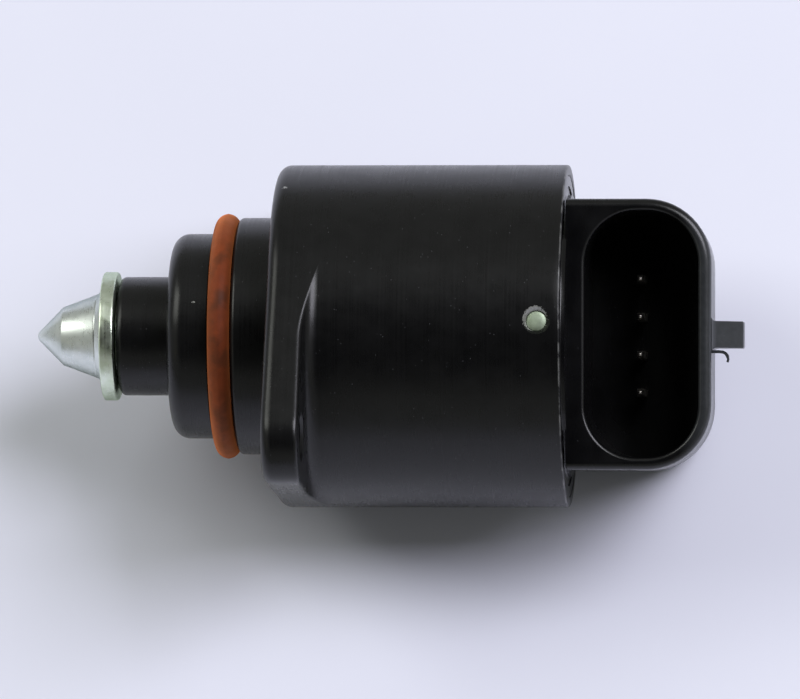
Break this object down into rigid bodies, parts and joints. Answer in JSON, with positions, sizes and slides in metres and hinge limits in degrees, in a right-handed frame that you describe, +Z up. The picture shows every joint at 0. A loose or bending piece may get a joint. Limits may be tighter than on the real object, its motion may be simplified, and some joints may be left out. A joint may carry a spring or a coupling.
{
  "type": "idle air control valve",
  "caption": "Flanged stepper valve for engine idle air: round black can with a two-ear flange, sealed spigot, conical pintle and a side-facing cable socket.",
  "frame": {"origin": "centre of the flange's mounting face, on the valve axis", "axes": "+X along the valve axis from the mounting face to the can's rear edge, +Z up from the table that the valve lies on"},
  "size_m": [0.0748, 0.0456, 0.036],
  "materials": {
    "black_coat": "satin black coating on turned metal",
    "orange_rubber": "matt orange-brown rubber",
    "black_moulding": "black glass-filled moulding",
    "black_rubber": "black rubber",
    "zinc_plate": "pale yellow-green zinc plate",
    "tin_plate": "tin-plated brass",
    "turned_alloy": "bright turned alloy",
    "steel": "ground steel",
    "polished_steel": "polished steel",
    "spring_steel": "spring steel",
    "brass": "turned brass",
    "hub_plastic": "natural plastic",
    "magnet": "sintered magnet",
    "yoke_steel": "stamped soft iron",
    "bobbin_plastic": "natural plastic",
    "copper_winding": "enamelled copper wire"
  },
  "bodies": {
    "root": {"housing": "black_coat", "flange_ring": "orange_rubber", "connector_housing": "black_moulding", "cap_seal": "black_rubber", "retaining_pin_1": "zinc_plate", "retaining_pin_2": "zinc_plate", "retaining_pin_3": "zinc_plate", "terminal_1": "tin_plate", "terminal_2": "tin_plate", "terminal_3": "tin_plate", "terminal_4": "tin_plate", "preload_spring": "spring_steel", "guide_bush": "brass", "bearing_outer_ring": "steel", "bearing_retainer": "steel", "rear_bush": "brass", "preload_washer": "spring_steel", "yoke_1": "yoke_steel", "yoke_2": "yoke_steel", "yoke_3": "yoke_steel", "yoke_4": "yoke_steel", "bobbin_front": "bobbin_plastic", "bobbin_rear": "bobbin_plastic", "coil_front": "copper_winding", "coil_rear": "copper_winding"},
    "rotor": {"rotor_hub": "hub_plastic", "rotor_magnet": "magnet", "bearing_inner_ring": "steel"},
    "ball_train": {"bearing_balls": "polished_steel", "bearing_cage": "brass"},
    "stem": {"pintle": "turned_alloy", "pintle_collar": "zinc_plate", "lead_screw": "steel"}
  },
  "joints": [
    {"name": "rotor_spin", "type": "hinge", "parent": "root", "child": "rotor", "pos_m": [0, 0, 0], "axis": [1, 0, 0], "range_deg": [-36, 1260]},
    {"name": "ball_train_spin", "type": "hinge", "parent": "root", "child": "ball_train", "pos_m": [0, 0, 0], "axis": [1, 0, 0], "range_deg": [-16, 520]},
    {"name": "pintle_travel", "type": "slide", "parent": "root", "child": "stem", "axis": [-1, 0, 0], "range_m": [-0.0002, 0.007]}
  ],
  "couplings": [
    {"joint": "ball_train_spin", "follows": "rotor_spin", "ratio": 0.4},
    {"joint": "pintle_travel", "follows": "rotor_spin", "m_per_rad": 0.0003183}
  ]
}
